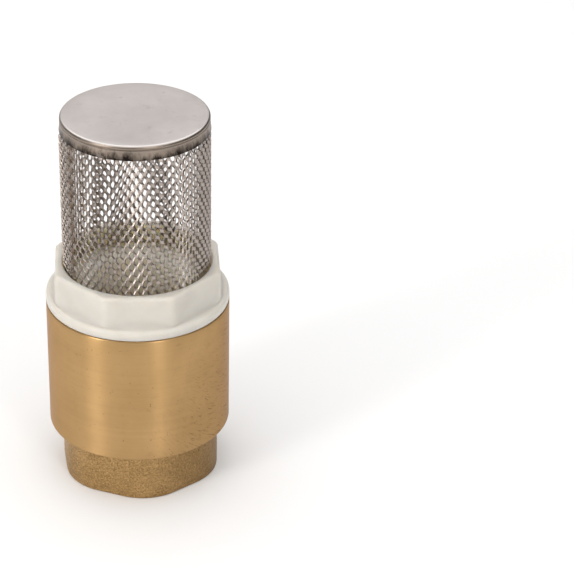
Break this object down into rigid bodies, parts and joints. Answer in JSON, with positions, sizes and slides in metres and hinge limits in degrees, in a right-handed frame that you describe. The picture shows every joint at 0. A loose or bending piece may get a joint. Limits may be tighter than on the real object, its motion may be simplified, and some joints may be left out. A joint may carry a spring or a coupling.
{
  "type": "foot valve",
  "caption": "Spring-loaded brass foot valve with a threaded outlet, a white octagonal strainer nut and a capped stainless diamond-mesh strainer.",
  "frame": {"origin": "centre of the outlet end face, on the valve's axis", "axes": "+Z along the valve's axis from the outlet end face to the strainer cap, against the flow; Y along the bridge of the web that guides the stem, and the nut's flats face X and Y"},
  "size_m": [0.06, 0.06, 0.128],
  "materials": {
    "body_brass": "turned satin barrel, rough cast collar, bright machined outlet end",
    "bush_brass": "machined",
    "nitrile_rubber": "matt",
    "white_nylon": "moulded",
    "black_plastic": "moulded",
    "spring_steel": "drawn wire",
    "nut_nylon": "moulded, slightly translucent",
    "mesh_stainless": "expanded metal",
    "cap_stainless": "pressed satin sheet"
  },
  "bodies": {
    "valve": {"valve_body": "body_brass", "inlet_bush": "bush_brass", "bush_o_ring": "nitrile_rubber", "return_spring": "spring_steel", "strainer_nut": "nut_nylon", "strainer_mesh": "mesh_stainless", "strainer_cap": "cap_stainless"},
    "poppet": {"poppet_stem": "white_nylon", "poppet_disc": "black_plastic", "seat_seal": "nitrile_rubber", "seal_retainer": "white_nylon"}
  },
  "joints": [
    {"name": "poppet_lift", "type": "slide", "parent": "valve", "child": "poppet", "axis": [0, 0, -1], "range_m": [0, 0.0065], "stiffness_N_per_m": 400, "springref_m": -0.006, "deforming": ["return_spring"]}
  ]
}
